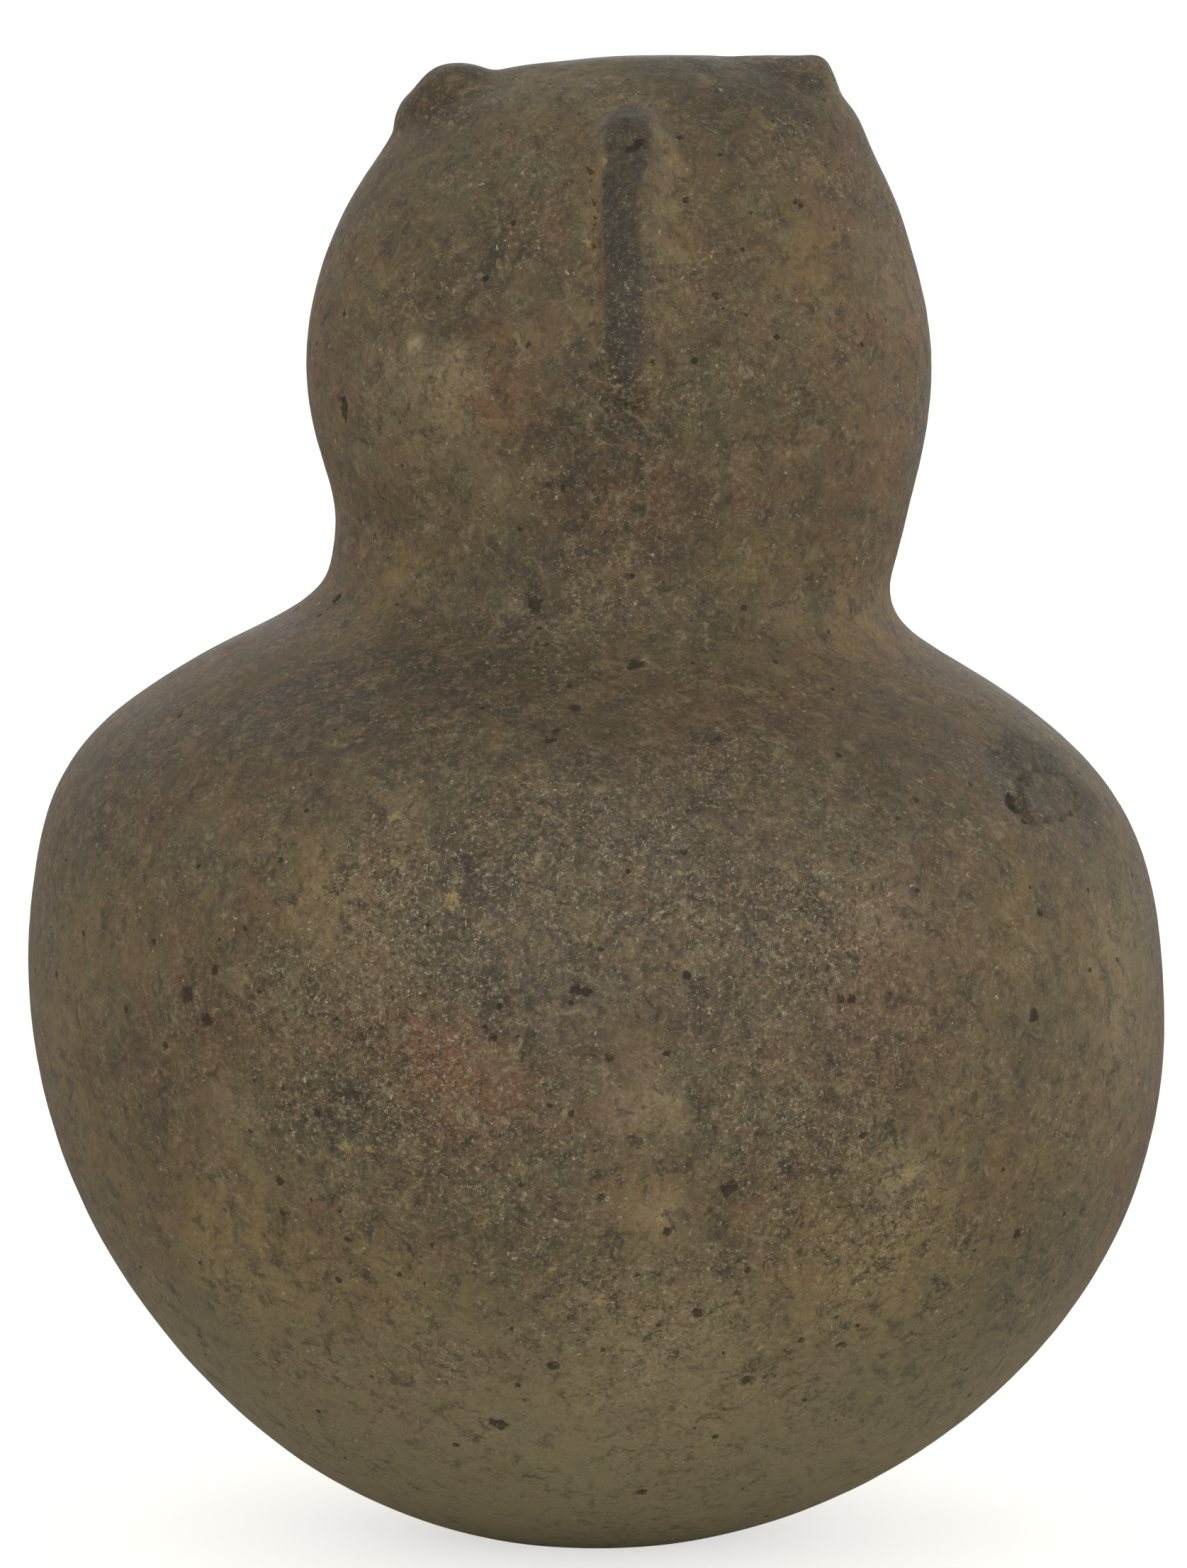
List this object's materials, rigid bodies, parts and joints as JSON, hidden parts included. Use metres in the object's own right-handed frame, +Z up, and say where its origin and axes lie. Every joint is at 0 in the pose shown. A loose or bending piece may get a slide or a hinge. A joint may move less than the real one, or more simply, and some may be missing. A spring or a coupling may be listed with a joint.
{
  "type": "effigy bottle",
  "caption": "Hooded effigy bottle of fired clay: round body, closed head with a nose ridge and ear lugs, and a round mouth at the back of the head.",
  "frame": {"origin": "centre of the small flat that the bottle rests on, on the supporting surface", "axes": "+Z up, the face and nose ridge look towards -Y, the mouth opens towards +Y at the back of the head, +X is to the right as seen from the front"},
  "size_m": [0.1384, 0.132, 0.18],
  "materials": {
    "fired_clay": "smoothed and lightly burnished shell-tempered earthenware, unglazed",
    "smudged_clay": "smoke-blackened, rubbed shell-tempered earthenware, unglazed"
  },
  "bodies": {
    "root": {"base_bowl": "fired_clay", "lower_wall_course": "fired_clay", "belly_course": "fired_clay", "lower_shoulder_course": "fired_clay", "upper_shoulder_course": "fired_clay", "neck_base_course": "fired_clay", "neck_collar": "fired_clay", "cheek_course": "fired_clay", "brow_course": "fired_clay", "crown_cap": "fired_clay", "mouth_rim": "fired_clay", "nose_ridge": "smudged_clay", "left_ear": "fired_clay", "right_ear": "fired_clay"}
  },
  "joints": []
}
